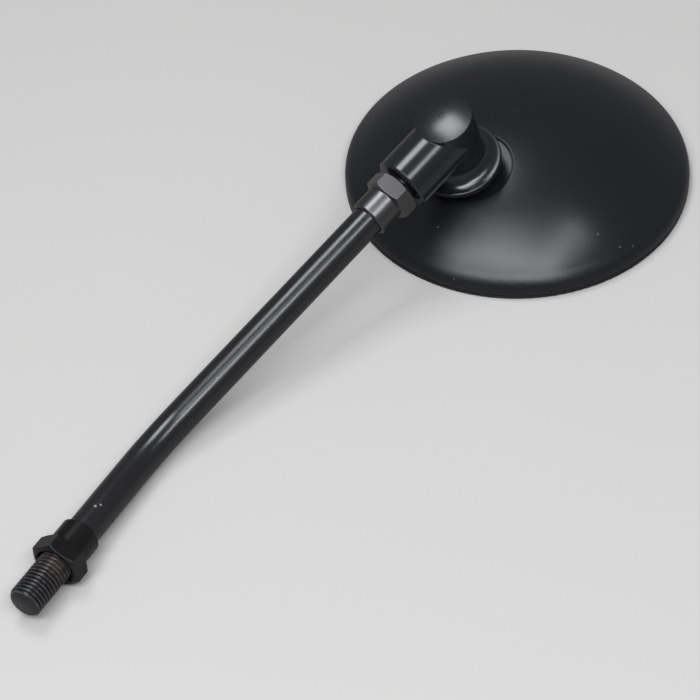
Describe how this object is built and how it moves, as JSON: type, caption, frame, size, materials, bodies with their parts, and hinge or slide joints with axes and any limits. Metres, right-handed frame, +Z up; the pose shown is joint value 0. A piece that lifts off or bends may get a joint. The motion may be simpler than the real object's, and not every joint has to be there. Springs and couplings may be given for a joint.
{
  "type": "motorcycle mirror",
  "caption": "Round rear-view mirror on a bent rod stem, with a threaded stud, collar lock nuts, a swivelling elbow and a sprung ball joint behind a convex glass.",
  "frame": {"origin": "on the stud's axis, in the seat face of the lower lock nut", "axes": "+Z up along the stud's axis and away from the threads, -Y out of the glass, so +Y out of the head's back"},
  "size_m": [0.11, 0.0607, 0.2733],
  "materials": {
    "black_paint": "satin black paint on steel rod, with chips",
    "black_plating": "semi-gloss black on steel nuts",
    "satin_paint": "satin black paint on die-cast metal",
    "zinc_steel": "bright zinc",
    "spring_steel": "dark spring steel",
    "nylon": "natural nylon",
    "bezel_plastic": "satin black",
    "mirror": "convex mirror glass",
    "rubber": "black rubber",
    "foam": "closed-cell foam"
  },
  "bodies": {
    "stem": {"stem": "black_paint"},
    "lower_nut": {"lower_lock_nut": "black_plating"},
    "upper_nut": {"upper_lock_nut": "black_plating"},
    "elbow": {"elbow": "satin_paint", "tension_bolt": "zinc_steel", "ball_washer": "zinc_steel", "upper_disc_spring": "spring_steel", "lower_disc_spring": "spring_steel", "plain_washer": "zinc_steel"},
    "outer_liner": {"outer_liner": "nylon"},
    "inner_liner": {"inner_liner": "nylon"},
    "head": {"housing": "satin_paint", "bezel": "bezel_plastic", "glass": "mirror", "rim_gasket": "rubber", "backing_pad": "foam"}
  },
  "joints": [
    {"name": "lower_nut_turn", "type": "hinge", "parent": "stem", "child": "lower_nut", "pos_m": [0, 0, 0], "axis": [0, 0, 1], "continuous": true},
    {"name": "upper_nut_turn", "type": "hinge", "parent": "stem", "child": "upper_nut", "pos_m": [-0.03354, 0.04141, 0.16978], "axis": [-0.258, 0.3186, 0.9121], "continuous": true},
    {"name": "elbow_swivel", "type": "hinge", "parent": "stem", "child": "elbow", "pos_m": [-0.03354, 0.04141, 0.16978], "axis": [-0.258, 0.3186, 0.9121], "continuous": true},
    {"name": "head_nod", "type": "hinge", "parent": "elbow", "child": "outer_liner", "pos_m": [-0.03453, 0.02919, 0.17377], "axis": [-0.9631, -0.0099, -0.2689], "range_deg": [-11.8, 4.2]},
    {"name": "head_yaw", "type": "hinge", "parent": "outer_liner", "child": "inner_liner", "pos_m": [-0.03453, 0.02919, 0.17377], "axis": [0.258, -0.3186, -0.9121], "range_deg": [-6.6, 9.4]},
    {"name": "head_spin", "type": "hinge", "parent": "inner_liner", "child": "head", "pos_m": [-0.03453, 0.02919, 0.17377], "axis": [0.0692, 0.9244, -0.3752], "continuous": true}
  ]
}
